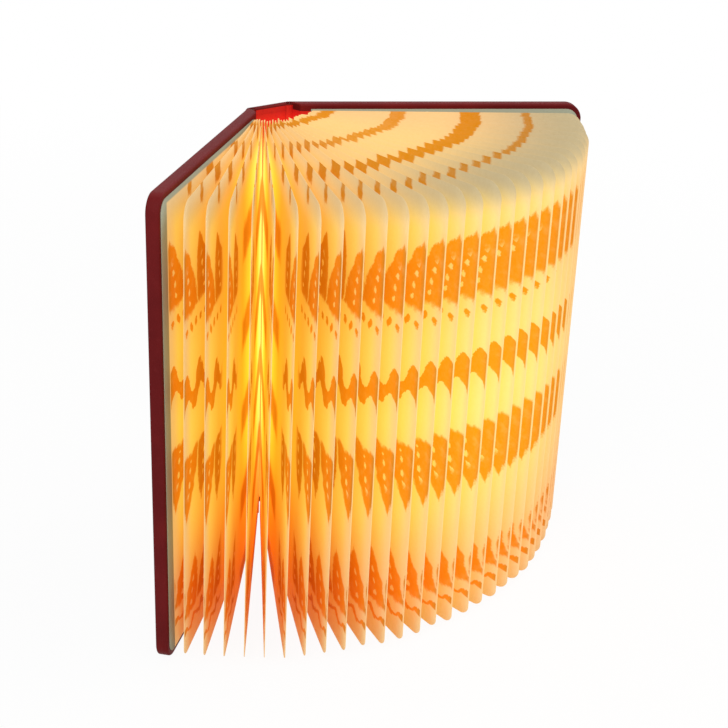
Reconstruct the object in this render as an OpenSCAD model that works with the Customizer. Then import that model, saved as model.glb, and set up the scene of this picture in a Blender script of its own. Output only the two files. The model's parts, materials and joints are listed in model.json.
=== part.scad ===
// Folding book lamp: a hardback case whose covers hinge on a narrow spine strip.
// An accordion of doubled paper leaves fans out between the covers in front of a slim light bar.
// The lamp stands on its lower edges. The origin is at the middle of the foot of the spine,
// +Z up, the spine strip lies along X and the pages point towards -Y.
// Depth is measured from the outer face of a board towards the pages.

/* [Case] */
// Height of the covers and the spine
book_h = 215; // [160:1:300]
// Width of a cover from its hinge to its fore-edge
cover_w = 146; // [120:1:220]
// Width of the spine strip, which is the thickness of the closed book
spine_w = 24; // [22:0.5:32]
// Thickness of a cover with its cloth and its lining
cover_t = 6; // [4.5:0.1:6.2]
// Thickness of the spine strip with its cloth and its lining
spine_t = 2.7; // [2:0.1:3]
// Thickness of the cloth
cloth_t = 0.6; // [0.3:0.1:0.8]
// Thickness of the pared cloth where it is turned in over the inner face
turn_in_t = 0.35; // [0.2:0.05:0.5]
// Width of the turned-in cloth
turn_in_w = 10; // [6:1:16]
// Thickness of the red lining and of the pasted paper
lining_t = 0.25; // [0.15:0.05:0.4]
// Depth at which the lining starts on the mitred hinge edge
lining_start = 1.2; // [1:0.1:2]
// Distance of the lining from the head and the foot of the covers
lining_square = 3.5; // [1.5:0.5:8]
// Radius of the cover corners at the fore-edge
corner_r = 8; // [3:0.5:14]

/* [Hinges] */
// Angle that the front cover has turned from closed
front_open = 52; // [20:1:120]
// Angle that the back cover has turned from closed
back_open = 58; // [20:1:120]
// Radius of the rolled cloth at each hinge line
hinge_r = 0.45; // [0.35:0.05:0.5]
// Half of the gap between the mitred edges of spine and cover when the book is closed
mitre_gap = 0.5; // [0.45:0.05:0.8]

/* [Pages] */
// Number of free pleats between the two pasted end leaves
pleats = 30; // [20:1:30]
// Distance of the outer fold of a pleat that lies on a cover from the fore-edge
fore_square = 1.5; // [0:0.5:4]
// Distance from the light bar to the inner folds in the middle of the fan
fold_clear = 4.3; // [3:0.1:8]
// How much nearer to the hinge the folds lie beside a cover than in the middle of the fan
fold_rise = 6.5; // [5:0.1:6.8]
// Thickness of one sheet of paper
sheet_t = 0.11; // [0.08:0.01:0.12]
// Thickness of a pleat, which is two sheets with air between them
leaf_t = 0.3; // [0.26:0.01:0.32]
// Distance that the pages stay below the top and above the foot of the covers
page_square = 2.5; // [1:0.5:5]
// Radius of the rounded corners of a pleat
leaf_corner_r = 8; // [3:0.5:12]
// Share of its cover's turn that the pleat next to a cover takes
end_share = 0.955; // [0.94:0.005:0.965]
// Angle of the inner turn of a pleat against the pleat itself
turn_angle = 50; // [35:1:60]
// Clearance left between the inner turn of a pleat and its neighbour
turn_gap = 0.3; // [0.2:0.05:0.5]
// Where the pasted end leaf starts, measured from the hinge line
paper_start = 11; // [8:0.5:20]
// Distance of the pasted end leaf from the fore-edge
paper_square = 2; // [1:0.5:5]

/* [Magnets] */
// Radius of a fore-edge magnet
magnet_r = 4; // [2:0.5:5]
// Thickness of a magnet
magnet_t = 2; // [1:0.5:2.5]
// Distance of the fore-edge magnets from the fore-edge
magnet_in = 14; // [12:1:30]
// Height of the lower fore-edge magnet, and distance of the upper one from the top
magnet_z = 40; // [20:1:60]
// Radius of the trigger magnet of the Hall sensor
trigger_r = 2.5; // [1.5:0.5:3]
// Distance of the trigger magnet from the hinge line
trigger_in = 14; // [11:1:20]
// Radial clearance of a magnet in its pocket
magnet_fit = 0.05; // [0.02:0.01:0.1]

/* [Light bar] */
// Height of the lower end of the light bar above the foot
bar_z = 12; // [6:1:30]
// Distance of the upper end of the light bar from the top of the spine
bar_head = 25; // [20:1:40]
// Width of the light bar
bar_w = 10; // [9.8:0.1:10.2]
// Depth of the channel housing without its diffuser
bar_d = 8; // [7.8:0.1:8.2]
// Height of the diffuser's dome over the housing
dome_h = 3.5; // [3:0.1:3.6]
// Wall of the housing and of the diffuser
bar_wall = 1; // [0.8:0.1:1.2]
// Thickness of an end cap
cap_t = 1.5; // [1:0.5:3]
// Depth of the plug of an end cap
plug_l = 3; // [2:0.5:5]
// Thickness of the double-sided tape behind the bar
tape_t = 0.8; // [0.4:0.1:1]
// Side clearance of what slides into the housing
slide_fit = 0.1; // [0.05:0.05:0.2]
// Width of the ledges that carry the LED board
ledge_w = 1; // [0.6:0.1:1.4]
// Width of the legs that hold the diffuser in the housing
leg_w = 0.8; // [0.6:0.1:1]
// Thickness of the LED board
led_board_t = 1; // [0.8:0.1:1.2]
// Distance between LEDs
led_pitch = 12; // [8:0.5:16]
// Least distance of the first and the last LED from the ends of the housing
led_end = 9; // [4:1:14]
// Length, width and thickness of one LED
led_size = [2.8, 3.5, 0.8];

/* [Power] */
// Thickness of a battery cell
cell_t = 3.9; // [2:0.1:4]
// Free length of a battery lead between the charge board and the lower cell
lead_l = 18.5; // [10:0.5:24]
// Length of each battery lead that is soldered to the charge board
solder_l = 2; // [1:0.5:3]
// Space between the two battery cells
cell_gap = 4; // [2:1:10]
// Space between the upper battery cell and the plug of the top cap
cell_end = 15.5; // [4:0.5:20]
// Length of the charge board
board_l = 30; // [26:1:36]
// Thickness of the charge board
board_t = 1; // [0.8:0.1:1.2]
// Width, height and length of the charging socket
socket_size = [7.4, 2.6, 5.6];
// Wall of the charging socket
socket_wall = 0.3; // [0.2:0.05:0.4]
// Width, depth and height of a chip on the charge board
chip_size = [4, 1, 4];
// Distance between the two chips
chip_pitch = 5; // [4.5:0.5:6]
// Width, depth and height of the Hall sensor
sensor_size = [3, 1.2, 4];
// Height of the Hall sensor above the foot of the charge board
sensor_up = 10; // [8:0.5:11]
// Radius of a battery lead
lead_r = 0.5; // [0.3:0.05:0.6]
// Distance of each lead from the middle
lead_x = 1.6; // [1:0.1:2.5]

/* [Hidden] */
$fn = 48;

// Overshoot of a cut past the face that it opens
spare = 1;

// Derived places of the case
axis_depth = cloth_t / 2;
axis_x = spine_w / 2 - axis_depth;
origin_depth = spine_t / 2;
hinge_fit = 0.05;
slab_start = hinge_r + hinge_fit;
cover_core = cover_t - lining_t;
spine_core = spine_t - lining_t;
mitre_lining = lining_t * sqrt(2);

// Derived places of the pages
share_step = 2 * end_share / (pleats - 1);
// Derived places of the light bar, as depths behind the outer face of the spine
bar_back = spine_t + tape_t;
bar_front = bar_back + bar_d;
bar_half = bar_w / 2;
bar_in = bar_half - bar_wall;
floor_depth = bar_back + bar_wall;
board_depth = bar_front - 2 * led_board_t;
ledge_depth = board_depth - led_board_t;
ledge_in = bar_in - ledge_w;
bar_top = book_h - bar_head;
dome_r = (bar_half * bar_half + dome_h * dome_h) / (2 * dome_h);
dome_depth = bar_front + dome_h - dome_r;
fold_start = bar_front + dome_h - axis_depth + fold_clear;
leaf_l = cover_w - fore_square - inner_end(1);
tube_z = bar_z + cap_t;
tube_l = bar_top - cap_t - tube_z;
led_count = floor((tube_l - 2 * led_end) / led_pitch) + 1;
board_end = tube_z + board_l;
cell_z = board_end + lead_l;
cell_l = (bar_top - cap_t - plug_l - cell_end - cell_gap - cell_z) / 2;

function two_digits(k) = k < 10 ? str("0", k) : str(k);
function pleat_name(k) = str("pleat_", two_digits(k));

// Place of pleat k between the covers, from minus one at the front cover to one at the back
function place(k) = (k - 1) * share_step - end_share;
function is_front(k) = place(k) < 0;

// Share that pleat k takes of its cover's turn
function share(k) = abs(place(k));
function open_of(k) = is_front(k) ? front_open : back_open;
function side_of(k) = is_front(k) ? -1 : 1;
function inner_end(r) = fold_start - fold_rise * r * r;

// Pivot of a pleat and a point at distance s along it, in the plane of the foot
function pivot(k) = [side_of(k) * axis_x * share(k), 0];
function along(k) = [side_of(k) * sin(share(k) * open_of(k)), -cos(share(k) * open_of(k))];
function across(k) = [-side_of(k) * cos(share(k) * open_of(k)), -sin(share(k) * open_of(k))];
function leaf_point(k, s) = pivot(k) + across(k) * (cover_t - axis_depth) * share(k) + along(k) * s;

// Distance from the inner fold of pleat k to the plane of its neighbour towards the middle
function neighbour(k) = is_front(k) ? k + 1 : k - 1;
function fold_gap(k) = abs((leaf_point(k, inner_end(share(k))) - leaf_point(neighbour(k), 0))
    * across(neighbour(k)));

// The turn of a pleat ends short of its neighbour, and of the middle when the book is closed
function closed_room(k) = (spine_w / 2 - cover_t) * share(k) - leaf_t / 2;
function turn_reach(k) = max(0, min(fold_gap(k) - leaf_t - turn_gap, closed_room(k)));

SPINE_NODES = ["spine_board", "spine_cloth", "spine_lining", "bar_tape", "bar_housing",
    "bar_diffuser", "bar_top_cap", "bar_bottom_cap", "led_board", "leds", "battery_cells",
    "charge_board", "charge_chips", "usb_socket", "hall_sensor", "battery_leads", "led_leads"];
COVER_NODES = ["front_board", "front_cloth", "front_lining", "front_endpaper", "front_magnets",
    "trigger_magnet", "back_board", "back_cloth", "back_lining", "back_endpaper", "back_magnets"];

// Places a piece drawn in spine coordinates: X along the strip, Y as minus the depth
module on_spine() {
    translate([0, origin_depth, 0]) children();
}

// Places a piece drawn in cover coordinates: X away from the hinge, Y as the depth
module on_cover(side) {
    turn = side < 0 ? front_open : back_open;
    on_spine()
        mirror([side < 0 ? 0 : 1, 0, 0])
            translate([-axis_x, -axis_depth, 0])
                rotate([0, 0, 270 - turn])
                    translate([0, -axis_depth, 0]) children();
}

// Places a pleat drawn with X from its pivot to its outer fold and Y towards the middle
module on_pleat(k) {
    on_spine()
        mirror([is_front(k) ? 0 : 1, 0, 0])
            translate([-axis_x * share(k), -axis_depth, 0])
                rotate([0, 0, 270 - share(k) * open_of(k)])
                    translate([0, (cover_t - axis_depth) * share(k), 0]) children();
}

// Panel outline with its two outer corners rounded
module panel(x0, x1, z0, z1, r) {
    translate([x0, z0]) square([x1 - x0 - r, z1 - z0]);
    translate([x0, z0 + r]) square([x1 - x0, z1 - z0 - 2 * r]);
    translate([x1 - r, z0 + r]) circle(r);
    translate([x1 - r, z1 - r]) circle(r);
}

// Outline of a cover, drawn in by inset on its three free edges
module cover_outline(inset) {
    panel(0, cover_w - inset, inset, book_h - inset, max(corner_r - inset, 0.5));
}

// Draws a shape on the right and its mirror image on the left
module both_sides() {
    for (flip = [0, 1]) mirror([flip, 0, 0]) children();
}

// Gives an outline in X and Z a depth from d0 to d1
module slab(d0, d1) {
    translate([0, d1, 0]) rotate([90, 0, 0]) linear_extrude(d1 - d0) children();
}

// Space of a cover behind its mitred hinge edge, between two depths
module mitred_space(d0, d1) {
    linear_extrude(book_h)
        polygon([[mitre(d0), d0], [cover_w, d0], [cover_w, d1], [mitre(d1), d1]]);
}

function mitre(depth) = depth - axis_depth + mitre_gap;

// Cover pieces

module cover_board(side) {
    color("#a9937a") on_cover(side) difference() {
        intersection() {
            slab(cloth_t, cover_core) cover_outline(cloth_t);
            mitred_space(cloth_t, cover_core);
        }
        slab(cover_core - turn_in_t, cover_core) difference() {
            cover_outline(0);
            cover_outline(turn_in_w);
        }
        magnet_places() cylinder(h = 2 * magnet_t, r = magnet_r + magnet_fit, center = true);
        if (side < 0) trigger_place() cylinder(h = magnet_t, r = trigger_r + magnet_fit);
    }
}

module cover_cloth(side) {
    color("#6d2329") on_cover(side) {
        difference() {
            slab(0, cover_core) cover_outline(0);
            slab(cloth_t, cover_core) cover_outline(cloth_t);
            hinge_relief();
        }
        intersection() {
            slab(cover_core - turn_in_t, cover_core) difference() {
                cover_outline(cloth_t);
                cover_outline(turn_in_w);
            }
            mitred_space(cloth_t, cover_core);
        }
    }
}

// Takes the wrapped cloth away from the hinge line, along the mitre
module hinge_relief() {
    translate([0, 0, -spare]) linear_extrude(book_h + 2 * spare)
        polygon([[-spare, -spare], [slab_start, -spare], [slab_start, cloth_t],
            [mitre(cloth_t), cloth_t], [mitre(cover_t), cover_t], [-spare, cover_t]]);
}

module cover_lining(side) {
    color("#c3201f") on_cover(side) translate([0, 0, lining_square])
        linear_extrude(book_h - 2 * lining_square)
            polygon([[mitre(lining_start), lining_start], [mitre(cover_core), cover_core],
                [paper_start, cover_core], [paper_start, cover_t],
                [mitre(cover_t) - mitre_lining, cover_t],
                [mitre(lining_start) - mitre_lining, lining_start]]);
}

module endpaper(side) {
    r = corner_r - paper_square;
    color("#efdcb4") on_cover(side) slab(cover_core, cover_t)
        panel(paper_start, cover_w - paper_square, page_square, book_h - page_square, r);
}

module magnet_places() {
    for (z = [magnet_z, book_h - magnet_z])
        translate([cover_w - magnet_in, cloth_t, z]) rotate([-90, 0, 0]) children();
}

module cover_magnets(side) {
    color("silver") on_cover(side) magnet_places() cylinder(h = magnet_t, r = magnet_r);
}

module trigger_place() {
    translate([trigger_in, cover_core - turn_in_t - magnet_t, sensor_z() + sensor_size[2] / 2])
        rotate([-90, 0, 0]) children();
}

module trigger_magnet() {
    color("silver") on_cover(-1) trigger_place() cylinder(h = magnet_t, r = trigger_r);
}

// Spine pieces

// Strip of the spine between two depths, with mitred ends, drawn in by inset at head and foot
module spine_strip(d0, d1, inset) {
    translate([0, 0, inset]) linear_extrude(book_h - 2 * inset)
        polygon([[-spine_end(d0), -d0], [spine_end(d0), -d0],
            [spine_end(d1), -d1], [-spine_end(d1), -d1]]);
}

function spine_end(depth) = axis_x - mitre(depth);

module spine_board() {
    color("#a9937a") on_spine() difference() {
        spine_strip(cloth_t, spine_core, cloth_t);
        for (z = [-turn_in_w, book_h - turn_in_w])
            translate([-spine_w / 2, -spine_core - spare, z])
                cube([spine_w, turn_in_t + spare, 2 * turn_in_w]);
    }
}

module spine_cloth() {
    color("#6d2329") on_spine() {
        translate([-axis_x, -cloth_t, 0]) cube([2 * axis_x, cloth_t, book_h]);
        both_sides() translate([axis_x, -axis_depth, 0]) cylinder(h = book_h, r = hinge_r);
        intersection() {
            spine_strip(cloth_t, spine_core, 0);
            union() {
                for (z = [0, book_h - cloth_t])
                    translate([-spine_w / 2, -spine_core, z]) cube([spine_w, spine_core, cloth_t]);
                for (z = [0, book_h - turn_in_w])
                    translate([-spine_w / 2, -spine_core, z]) cube([spine_w, turn_in_t, turn_in_w]);
            }
        }
    }
}

module spine_lining() {
    half = spine_end(spine_t);
    color("#c3201f") on_spine() translate([-half, -spine_t, lining_square])
        cube([2 * half, lining_t, book_h - 2 * lining_square]);
}

// Light bar

module bar_tape() {
    margin = 2;
    color("#e9e6df") on_spine() translate([-bar_half + margin / 2, -bar_back, tube_z + margin])
        cube([bar_w - margin, tape_t, tube_l - 2 * margin]);
}

module bar_housing() {
    color("#f2f0ea") on_spine() translate([0, 0, tube_z]) {
        difference() {
            translate([-bar_half, -bar_front, 0]) cube([bar_w, bar_d, tube_l]);
            translate([-bar_in, -bar_front - spare, -spare])
                cube([2 * bar_in, bar_d - bar_wall + spare, tube_l + 2 * spare]);
        }
        both_sides() translate([ledge_in, -board_depth, 0])
            cube([bar_in - ledge_in, led_board_t, tube_l]);
    }
}

module bar_diffuser() {
    leg_x = bar_in - slide_fit - leg_w;
    bridge_d = 0.5;
    color("#f8eed6") on_spine() translate([0, 0, tube_z]) {
        intersection() {
            translate([0, -dome_depth, 0]) difference() {
                cylinder(h = tube_l, r = dome_r);
                translate([0, 0, -spare])
                    cylinder(h = tube_l + 2 * spare, r = dome_r - bar_wall);
            }
            translate([-bar_half, -bar_front - dome_h, 0]) cube([bar_w, dome_h, tube_l]);
        }
        both_sides() {
            translate([leg_x, -bar_front, 0]) cube([leg_w, led_board_t, tube_l]);
            translate([bar_in - leg_w / 2, -bar_front - bridge_d, 0])
                cube([leg_w, bridge_d, tube_l]);
        }
    }
}

// Outline of the bar with its diffuser
module bar_outline() {
    translate([-bar_half, -bar_front]) square([bar_w, bar_d]);
    intersection() {
        translate([0, -dome_depth]) circle(dome_r);
        translate([-bar_half, -bar_front - dome_h]) square([bar_w, dome_h + spare]);
    }
}

module cap_plug() {
    translate([-ledge_in + slide_fit, -ledge_depth + slide_fit])
        square([2 * (ledge_in - slide_fit), ledge_depth - floor_depth - 2 * slide_fit]);
}

module bar_top_cap() {
    color("#f2f0ea") on_spine() {
        translate([0, 0, bar_top - cap_t]) linear_extrude(cap_t) bar_outline();
        translate([0, 0, bar_top - cap_t - plug_l]) linear_extrude(plug_l) cap_plug();
    }
}

module bar_bottom_cap() {
    fit = 2 * slide_fit;
    color("#f2f0ea") on_spine() difference() {
        translate([0, 0, bar_z]) linear_extrude(cap_t) bar_outline();
        translate([-socket_size[0] / 2 - slide_fit, -socket_back() - socket_size[1] - slide_fit,
            bar_z - spare])
            cube([socket_size[0] + fit, socket_size[1] + fit, cap_t + 2 * spare]);
    }
}

module led_board() {
    color("#f4f4f0") on_spine() translate([-bar_in + slide_fit, -board_depth - led_board_t, tube_z])
        cube([2 * (bar_in - slide_fit), led_board_t, tube_l]);
}

module leds() {
    row = (led_count - 1) * led_pitch;
    color("#fff2b0") on_spine() for (k = [0:led_count - 1])
        translate([-led_size[0] / 2, -board_depth - led_board_t - led_size[2],
            tube_z + (tube_l - row) / 2 + k * led_pitch - led_size[1] / 2])
            cube([led_size[0], led_size[2], led_size[1]]);
}

// Power

module battery_cells() {
    width = 2 * (bar_in - slide_fit);
    color("#8f9aa3") on_spine() for (k = [0, 1])
        translate([-width / 2, -floor_depth - cell_t, cell_z + k * (cell_l + cell_gap)])
            cube([width, cell_t, cell_l]);
}

function socket_back() = floor_depth + board_t;
function sensor_z() = tube_z + sensor_up;

module charge_board() {
    width = 2 * (bar_in - slide_fit);
    color("#2f6b45") on_spine() translate([-width / 2, -socket_back(), tube_z])
        cube([width, board_t, board_l]);
}

module charge_chips() {
    first = sensor_z() + sensor_size[2] + chip_pitch - chip_size[2];
    color("#26262a") on_spine() for (k = [0, 1])
        translate([-chip_size[0] / 2, -socket_back() - chip_size[1], first + k * chip_pitch])
            cube(chip_size);
}

module usb_socket() {
    color("silver") on_spine()
        translate([-socket_size[0] / 2, -socket_back() - socket_size[1], bar_z]) difference() {
            cube(socket_size);
            translate([socket_wall, socket_wall, -spare])
                cube([socket_size[0] - 2 * socket_wall, socket_size[1] - 2 * socket_wall, socket_size[2]]);
        }
}

module hall_sensor() {
    color("#26262a") on_spine()
        translate([-bar_in + slide_fit, -socket_back() - sensor_size[1], sensor_z()])
            cube(sensor_size);
}

module battery_leads() {
    color("#b02020") on_spine() both_sides()
        translate([lead_x, -socket_back() - lead_r, board_end - solder_l])
            cylinder(h = lead_l + solder_l, r = lead_r);
}

module led_leads() {
    color("#e0c040") on_spine() both_sides()
        translate([ledge_in - slide_fit - lead_r, -socket_back(), board_end - solder_l - 2 * lead_r])
            rotate([90, 0, 0]) cylinder(h = board_depth - socket_back(), r = lead_r);
}

// Pages

// One pleat: two sheets from the inner fold to the outer fold, and the turn to its neighbour
module pleat(k) {
    start = inner_end(share(k));
    turn_l = turn_reach(k) / sin(turn_angle);
    color("#f7d9a0") on_pleat(k) intersection() {
        linear_extrude(book_h) {
            difference() {
                translate([start, -leaf_t / 2]) square([leaf_l, leaf_t]);
                translate([start - spare, -leaf_t / 2 + sheet_t])
                    square([leaf_l + spare - sheet_t, leaf_t - 2 * sheet_t]);
            }
            if (turn_l > 0) translate([start, leaf_t / 2 - sheet_t])
                rotate(-turn_angle) translate([-turn_l, 0]) square([turn_l + sheet_t, sheet_t]);
        }
        slab(-leaf_t - spine_w, leaf_t + spine_w)
            panel(0, start + leaf_l, page_square, book_h - page_square, leaf_corner_r);
    }
}

spine_board();
spine_cloth();
spine_lining();
bar_tape();
bar_housing();
bar_diffuser();
bar_top_cap();
bar_bottom_cap();
led_board();
leds();
battery_cells();
charge_board();
charge_chips();
usb_socket();
hall_sensor();
battery_leads();
led_leads();
cover_board(-1);  // front_board
cover_cloth(-1);  // front_cloth
cover_lining(-1);  // front_lining
endpaper(-1);  // front_endpaper
cover_magnets(-1);  // front_magnets
trigger_magnet();
cover_board(1);  // back_board
cover_cloth(1);  // back_cloth
cover_lining(1);  // back_lining
endpaper(1);  // back_endpaper
cover_magnets(1);  // back_magnets
for (k = [1:pleats])
    pleat(k);
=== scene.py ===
# %% [markdown]
# A folding book lamp.
# On the real object a hardback case opens like a book, and an accordion of paper leaves fans out in
# front of a slim light bar that is stuck to the inside of the spine.
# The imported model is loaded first, as a fixed frame. Every size below is a real one in metres, and
# what can be read from the frame is read from it, so the looks follow the construction.

# %% Load the frame
import json
import math
import random

import bpy
from mathutils import Matrix, Vector

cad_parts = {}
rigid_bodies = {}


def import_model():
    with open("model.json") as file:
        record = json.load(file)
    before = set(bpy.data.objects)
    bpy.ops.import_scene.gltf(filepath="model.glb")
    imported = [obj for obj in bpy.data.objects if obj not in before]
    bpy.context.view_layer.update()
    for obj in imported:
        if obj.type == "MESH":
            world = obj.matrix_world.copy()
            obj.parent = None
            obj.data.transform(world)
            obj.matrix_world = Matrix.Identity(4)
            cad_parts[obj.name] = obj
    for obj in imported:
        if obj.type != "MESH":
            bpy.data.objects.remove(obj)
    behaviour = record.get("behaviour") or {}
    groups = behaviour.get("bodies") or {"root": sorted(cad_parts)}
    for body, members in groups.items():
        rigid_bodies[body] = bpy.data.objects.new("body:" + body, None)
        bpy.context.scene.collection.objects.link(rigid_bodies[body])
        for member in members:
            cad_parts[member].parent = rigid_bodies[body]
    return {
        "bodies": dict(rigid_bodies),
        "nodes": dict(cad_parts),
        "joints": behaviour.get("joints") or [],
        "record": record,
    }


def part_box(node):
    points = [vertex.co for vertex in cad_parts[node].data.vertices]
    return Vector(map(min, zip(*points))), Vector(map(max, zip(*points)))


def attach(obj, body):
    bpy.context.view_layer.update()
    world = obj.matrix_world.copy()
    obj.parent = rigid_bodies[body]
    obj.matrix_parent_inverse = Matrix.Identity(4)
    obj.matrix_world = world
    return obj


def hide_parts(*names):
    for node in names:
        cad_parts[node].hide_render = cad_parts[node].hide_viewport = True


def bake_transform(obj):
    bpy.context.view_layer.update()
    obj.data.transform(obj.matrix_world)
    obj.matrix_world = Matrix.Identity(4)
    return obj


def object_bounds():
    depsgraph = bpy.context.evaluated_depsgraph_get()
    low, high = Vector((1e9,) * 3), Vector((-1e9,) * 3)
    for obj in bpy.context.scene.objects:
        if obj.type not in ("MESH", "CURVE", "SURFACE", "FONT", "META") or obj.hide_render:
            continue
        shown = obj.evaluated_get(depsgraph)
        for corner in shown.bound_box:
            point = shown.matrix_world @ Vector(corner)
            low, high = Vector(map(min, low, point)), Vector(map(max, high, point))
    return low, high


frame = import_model()
cad_low, cad_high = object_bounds()
nodes = frame["nodes"]

# %% [markdown]
# The sizes of the book. The hinge lines and the angles by which the covers stand open come from the
# joints, and the share of that turn that each leaf takes comes from the couplings, because a leaf
# near a cover turns almost as far as the cover and one in the middle hardly turns at all.

# %% Sizes of the book
MM = 0.001
joints = {joint["name"]: joint for joint in frame["joints"]}
shares = {rule["joint"]: rule["ratio"] for rule in frame["record"]["behaviour"]["couplings"]}
hinge = {-1: joints["front_cover_hinge"], 1: joints["back_cover_hinge"]}
open_angle = {side: math.radians(hinge[side]["range_deg"][1]) for side in (-1, 1)}
AXIS_X, AXIS_Y = hinge[1]["pos_m"][0], hinge[1]["pos_m"][1]
BOOK_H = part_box("spine_cloth")[1].z
CLOTH_T = 0.6 * MM
AXIS_DEPTH = CLOTH_T / 2
COVER_W = 146 * MM
COVER_T = 6 * MM
LINING_T = 0.25 * MM
COVER_CORE = COVER_T - LINING_T
SPINE_CORE = 2.45 * MM
CORNER_R = 8 * MM
TURN_IN = 10 * MM
MITRE_GAP = 0.5 * MM
PAGE_SQUARE = 2.5 * MM
PAGE_H = BOOK_H - 2 * PAGE_SQUARE
BAR_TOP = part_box("bar_top_cap")[1].z
print("open angles:", {side: round(math.degrees(a)) for side, a in open_angle.items()})

# %% [markdown]
# The camera comes first. It looks down on the lamp from the front left, with a slight roll. A long
# lens keeps the covers nearly parallel. Its direction is built from three plain angles rather than
# from a target, because the roll is then one number that can be read and changed.

# %% Camera
CAMERA_AT = Vector((-418.17, -553.19, 388.60)) * MM
CAMERA_YAW = math.radians(41.23)
CAMERA_PITCH = math.radians(23.95)
CAMERA_ROLL = math.radians(2.26)
CAMERA_LENS = 72.64
SENSOR = 36.0


def make_camera():
    yaw, pitch, roll = CAMERA_YAW, CAMERA_PITCH, CAMERA_ROLL
    ahead = Vector((math.sin(yaw) * math.cos(pitch), math.cos(yaw) * math.cos(pitch),
                    -math.sin(pitch)))
    level = Vector((math.cos(yaw), -math.sin(yaw), 0))
    upright = level.cross(ahead)
    right = math.cos(roll) * level + math.sin(roll) * upright
    up = -math.sin(roll) * level + math.cos(roll) * upright
    data = bpy.data.cameras.new("camera")
    data.sensor_width = SENSOR
    data.lens = CAMERA_LENS
    data.clip_start = 0.01
    camera = bpy.data.objects.new("camera", data)
    turn = Matrix((right, up, -ahead)).transposed()
    camera.matrix_world = Matrix.Translation(CAMERA_AT) @ turn.to_4x4()
    bpy.context.scene.collection.objects.link(camera)
    bpy.context.scene.camera = camera
    return camera


camera = make_camera()
print("camera at", [round(x, 3) for x in camera.location])

# %% [markdown]
# Node trees are written as Python expressions. A Value wraps one socket, and sums and products of
# Values add Math nodes. A Maker adds any other node: its settings first, then its values or links.
# The same two classes serve the materials and the geometry, because both are node trees.

# %% Values and nodes as Python


class Value:
    """One output of a node tree, with arithmetic."""

    def __init__(self, maker, socket):
        self.maker = maker
        self.socket = socket

    def math(self, operation, *others):
        inputs = {0: self}
        inputs.update({index + 1: other for index, other in enumerate(others)})
        return self.maker.node("ShaderNodeMath", {"operation": operation}, inputs)

    def __add__(self, other):
        return self.math("ADD", other)

    __radd__ = __add__

    def __mul__(self, other):
        return self.math("MULTIPLY", other)

    __rmul__ = __mul__

    def __sub__(self, other):
        return self.math("SUBTRACT", other)

    def __rsub__(self, other):
        return self * -1 + other

    def __truediv__(self, other):
        return self.math("DIVIDE", other)

    def __rtruediv__(self, other):
        return self.math("POWER", -1.0) * other

    def __pow__(self, other):
        return self.math("POWER", other)

    def sin(self):
        return self.math("SINE")

    def abs(self):
        return self.math("ABSOLUTE")

    def sqrt(self):
        return self.math("SQRT")

    def fract(self):
        return self.math("FRACT")

    def least(self, other):
        return self.math("MINIMUM", other)

    def most(self, other):
        return self.math("MAXIMUM", other)

    def above(self, other):
        return self.math("GREATER_THAN", other)

    def step(self, low, high):
        """Rises smoothly from 0 at low to 1 at high, and falls where low is above high."""
        flip = low > high
        settings = {"interpolation_type": "SMOOTHSTEP"}
        inputs = {0: self, 1: min(low, high), 2: max(low, high), 3: float(flip), 4: float(not flip)}
        return self.maker.node("ShaderNodeMapRange", settings, inputs)


class Maker:
    """Adds nodes to one tree."""

    def __init__(self, tree):
        self.tree = tree

    def node(self, kind, settings=None, inputs=None, output=0):
        made = self.tree.nodes.new(kind)
        for name, value in (settings or {}).items():
            if name == "stops":
                self.set_stops(made.color_ramp, value)
            else:
                setattr(made, name, value)
        for key, value in (inputs or {}).items():
            if isinstance(value, Value):
                self.tree.links.new(value.socket, made.inputs[key])
            else:
                made.inputs[key].default_value = value
        return Value(self, made.outputs[output])

    @staticmethod
    def set_stops(ramp, stops):
        while len(ramp.elements) < len(stops):
            ramp.elements.new(1.0)
        for element, (place, colour) in zip(ramp.elements, stops):
            element.position = place
            element.color = (*colour, 1.0)

    def split(self, vector):
        """The three parts of a vector."""
        first = self.node("ShaderNodeSeparateXYZ", None, {0: vector})
        outputs = first.socket.node.outputs
        return [Value(self, outputs[index]) for index in range(3)]

    def join(self, x=0.0, y=0.0, z=0.0):
        return self.node("ShaderNodeCombineXYZ", None, {0: x, 1: y, 2: z})

    def mix(self, share, first, second):
        """A colour between two colours."""
        settings = {"data_type": "RGBA"}
        inputs = {0: share, 6: colour_of(first), 7: colour_of(second)}
        return self.node("ShaderNodeMix", settings, inputs, 2)

    def tint(self, colour, other, share=1.0):
        """A colour multiplied by another, by a share."""
        settings = {"data_type": "RGBA", "blend_type": "MULTIPLY"}
        inputs = {0: share, 6: colour_of(colour), 7: colour_of(other)}
        return self.node("ShaderNodeMix", settings, inputs, 2)

    def place(self):
        """The point on the piece, in metres in the lamp's own frame."""
        return self.node("ShaderNodeTexCoord", None, None, "Object")

    def noise(self, vector, size, detail=2.0, roughness=0.5, output=0):
        """Soft random values from 0 to 1 whose blobs are about size across."""
        inputs = {"Vector": vector, "Scale": 1 / size, "Detail": detail, "Roughness": roughness}
        return self.node("ShaderNodeTexNoise", None, inputs, output)

    def bump(self, height, depth, strength=1.0):
        inputs = {"Strength": strength, "Distance": depth, "Height": height}
        return self.node("ShaderNodeBump", None, inputs, "Normal")


def colour_of(colour):
    return colour if isinstance(colour, Value) else (*colour, 1.0)


# %% [markdown]
# A finish starts from one Principled shader. What is the same all over the surface is set on its own
# sockets, and only what varies is linked.

# %% Finishes in general


def new_finish(name, **even):
    made = bpy.data.materials.new(name)
    made.use_nodes = True
    shader = made.node_tree.nodes["Principled BSDF"]
    for key, value in even.items():
        shader.inputs[key.replace("_", " ").title()].default_value = value
    return made, Maker(made.node_tree), shader


def link(maker, value, shader, socket):
    maker.tree.links.new(value.socket, shader.inputs[socket])


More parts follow.
